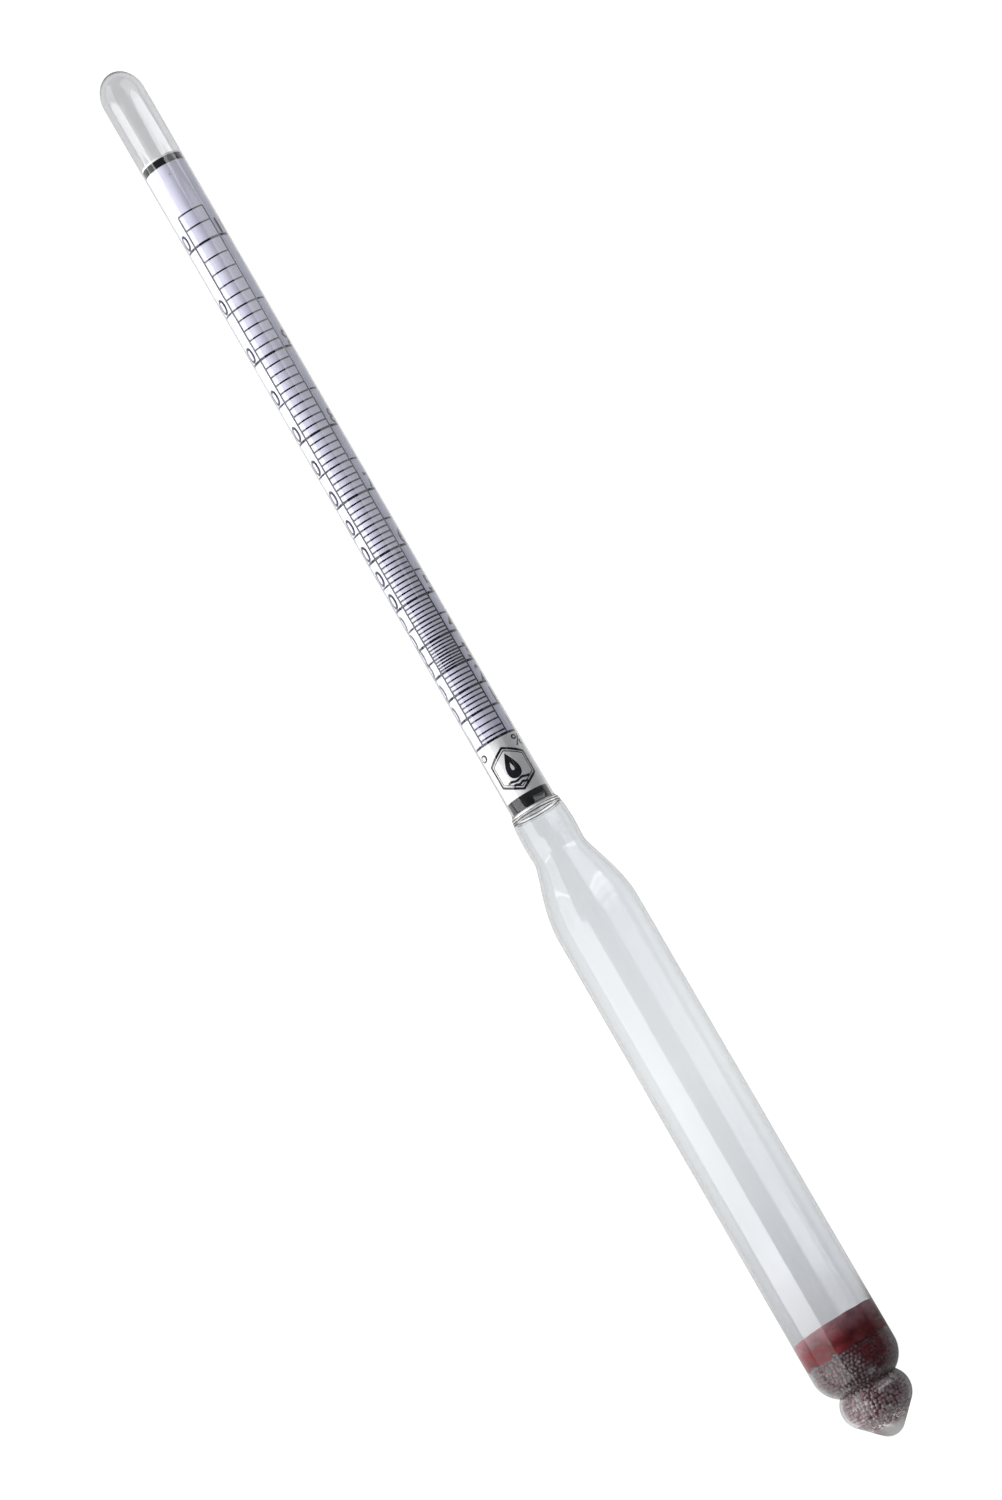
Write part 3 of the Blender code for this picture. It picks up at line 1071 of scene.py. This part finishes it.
def red_wax():
    form = bmesh.new()
    rims, feet = wax_edges()
    turns = [360 * k / WAX_SIDES for k in range(WAX_SIDES)]
    angles = [math.radians(turn) for turn in turns]

    def ring(heights, radii):
        return [form.verts.new(place(*spot)) for spot in zip(heights, turns, radii)]

    side = []
    for i in range(WAX_ROWS + 1):
        heights = [rim + (foot - rim) * i / WAX_ROWS for rim, foot in zip(rims, feet)]
        radii = []
        for height, angle in zip(heights, angles):
            spot = Vector((height * 1.2, 6 * math.cos(angle), 6 * math.sin(angle)))
            radii.append(wall_radius(height) + WAX_SKIN[0] + WAX_SKIN[1] * noise.noise(spot))
        side.append(ring(heights, radii))
    wall = wall_radius(WAX_RIM)
    dish = []
    for i in range(1, WAX_RINGS + 1):
        reach = (i / WAX_RINGS) ** 1.6
        radius = wall * (1 - reach)
        fall = (1 - math.exp(-WAX_HOLLOW * reach)) / (1 - math.exp(-WAX_HOLLOW))
        sink = (WAX_RIM - WAX_DISH) * fall
        heights = []
        for rim, angle in zip(rims, angles):
            spot = Vector((0.5 * radius * math.cos(angle), 0.5 * radius * math.sin(angle), 7.0))
            heights.append(rim - 0.04 - sink + 0.12 * reach * noise.noise(spot))
        dish.append(ring(heights, [max(radius, WAX_NEEDLE)] * WAX_SIDES))
    under = []
    for i in range(1, WAX_RINGS + 1):
        radius = (wall - 0.1) * (1 - i / WAX_RINGS)
        under.append(ring([WAX_FOOT - 0.2] * WAX_SIDES, [max(radius, WAX_NEEDLE)] * WAX_SIDES))
    rings = dish[::-1] + side + under
    for one, two in zip(rings, rings[1:]):
        quads(form, one + one[:1], two + two[:1])
    form.faces.new(rings[0])
    form.faces.new(rings[-1])
    bmesh.ops.recalc_face_normals(form, faces=form.faces[:])

    nodes = Nodes("red_wax")
    nodes.set(Subsurface_Weight=0.25, Subsurface_Radius=(0.001, 0.0003, 0.0003))
    nodes.set(Specular_IOR_Level=0.05)
    cloud = nodes.noise(420.0, 4.0, distortion=0.6)
    fine = nodes.noise(2400.0, 3.0)
    deep = nodes.ramp(cloud, (0.3, (0.06, 0.006, 0.008)), (0.7, (0.145, 0.022, 0.026)))
    pale = nodes.ramp(cloud, (0.3, (0.165, 0.08, 0.09)), (0.7, (0.29, 0.16, 0.18)))
    pale_from, pale_to = (NOSE_X + at * MM for at in PALE_RUN)
    upward = nodes.scaled(nodes.axis_value("X"), 0.0, 1.0, pale_from, pale_to)
    nodes.link(nodes.mix(upward, deep, pale), nodes.shader.inputs["Base Color"])
    nodes.link(nodes.scaled(fine, 0.15, 0.45), nodes.shader.inputs["Roughness"])
    nodes.bump(fine, 0.25, 0.0001)
    new_piece("wax_plug", form, nodes.material, "red_wax", "wax_plug")


def wax_fill():
    """The wax that has soaked down between the shot."""
    wall = [(h, r) for h, r in INSIDE if h <= FILL_TOP and r > 0.5]
    outline = [(FILL_TOP, 0.0)] + [(h, max(r - FILL_INSET, 0.0)) for h, r in wall]
    outline.append((outline[-1][0] + 0.1, 0.0))
    nodes = Nodes("wax_fill")
    nodes.set(Roughness=0.4, Specular_IOR_Level=0.5)
    cloud = nodes.noise(700.0, 4.0)
    soaked = nodes.ramp(cloud, (0.35, (0.035, 0.006, 0.008)), (0.7, (0.16, 0.035, 0.05)))
    nodes.link(soaked, nodes.shader.inputs["Base Color"])
    nodes.bump(cloud, 0.6, 0.0002)
    new_piece("wax_fill", revolve(outline, False, sides=96), nodes.material, "red_wax")


def lead_shot():
    """Small round pellets, packed against the glass and each a little out of line."""
    rng = random.Random(11)
    ball = bmesh.new()
    bmesh.ops.create_icosphere(ball, subdivisions=2, radius=1.0)
    unit = np.array([v.co[:] for v in ball.verts])
    triangles = np.array([[v.index for v in f.verts] for f in ball.faces])
    ball.free()
    profile = [p for p in INSIDE if p[0] <= SHOT_TOP]
    heights, walls = zip(*profile)
    lengths = [0.0]
    for one, two in zip(profile, profile[1:]):
        lengths.append(lengths[-1] + math.dist(one, two))
    balls = []
    for depth, pitch in SHOT_LAYERS:
        travel = 0.0
        while travel < lengths[-1]:
            height = float(np.interp(travel, lengths, heights))
            wall = float(np.interp(travel, lengths, walls))
            ring_radius = wall - SHOT_RADIUS - depth
            travel += pitch * SHOT_ROW
            if ring_radius < 0.25:
                continue
            count = max(3, int(2 * math.pi * ring_radius / pitch))
            lead = rng.uniform(0, 360)
            for k in range(count):
                size = SHOT_SIZE * rng.uniform(0.88, 1.06)
                turn = lead + 360 * k / count + rng.uniform(-1.0, 1.0) * 12 / ring_radius
                reach = ring_radius + SHOT_RADIUS - size + rng.uniform(-0.10, 0.0)
                at = Vector(place(height + rng.uniform(-0.16, 0.16), turn, reach))
                squash = np.array([rng.uniform(0.92, 1.05) for _ in range(3)])
                balls.append(np.array(at) + unit * squash * size * MM)
    points = np.concatenate(balls)
    faces = np.concatenate([triangles + len(unit) * i for i in range(len(balls))])
    mesh = bpy.data.meshes.new("lead_shot")
    mesh.from_pydata(points.tolist(), [], faces.tolist())
    form = bmesh.new()
    form.from_mesh(mesh)
    bpy.data.meshes.remove(mesh)

    nodes = Nodes("lead_shot")
    nodes.set(Metallic=0.35)
    patch = nodes.noise(520.0, 5.0, distortion=0.8)
    speck = nodes.noise(1900.0, 3.0)
    greys = ((0.3, (0.10, 0.09, 0.095)), (0.55, (0.20, 0.175, 0.18)), (0.75, (0.33, 0.30, 0.31)))
    grey = nodes.ramp(speck, *greys)
    wine = nodes.ramp(speck, (0.3, (0.05, 0.018, 0.022)), (0.7, (0.22, 0.10, 0.12)))
    stain = nodes.ramp(patch, (0.38, (0.0, 0.0, 0.0)), (0.72, (1.0, 1.0, 1.0)))
    dry = nodes.mix(stain, grey, wine)
    soaked = nodes.ramp(speck, (0.3, (0.03, 0.003, 0.004)), (0.7, (0.20, 0.012, 0.018)))
    reach = nodes.tree.nodes.new("ShaderNodeVectorMath")
    reach.operation = "DISTANCE"
    reach.inputs[1].default_value = place(*SOAKED_SPOT)
    nodes.link(nodes.position, reach.inputs[0])
    near = nodes.scaled(reach.outputs["Value"], 1.0, 0.0, *SOAKED_RUN)
    wet = nodes.math("MULTIPLY", near, nodes.scaled(patch, 0.5, 1.6, 0.3, 0.6))
    light_from, light_to = (NOSE_X + at * MM for at in NOSE_LIGHT_RUN)
    # painted light: the shot's colour is brightened towards the nose, up to 2.1 times, as if more light
    # reached it there
    painted_nose_light = nodes.scaled(nodes.axis_value("X"), 2.1, 1.1, light_from, light_to)
    colour = nodes.mix(1.0, nodes.mix(wet, dry, soaked), painted_nose_light, "MULTIPLY")
    nodes.link(colour, nodes.shader.inputs["Base Color"])
    nodes.link(nodes.scaled(speck, 0.35, 0.65), nodes.shader.inputs["Roughness"])
    nodes.bump(speck, 0.5, 0.00008)
    pellets = [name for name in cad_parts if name.startswith("shot_pellet")]
    new_piece("lead_shot", form, nodes.material, "lead_shot", "shot_bed", *pellets)


make_camera()
make_world()
make_lights()
make_floor()
stem_glass()
bead_glass()
float_glass()
scale_paper()
ink = ink_material()
scale_marks(ink)
scale_numbers(ink)
maker_mark(ink)
for band_name, (band_foot, band_head) in BANDS.items():
    band(band_name, band_foot, band_head)
red_wax()
wax_fill()
lead_shot()

bpy.context.scene.view_settings.view_transform = "Standard"
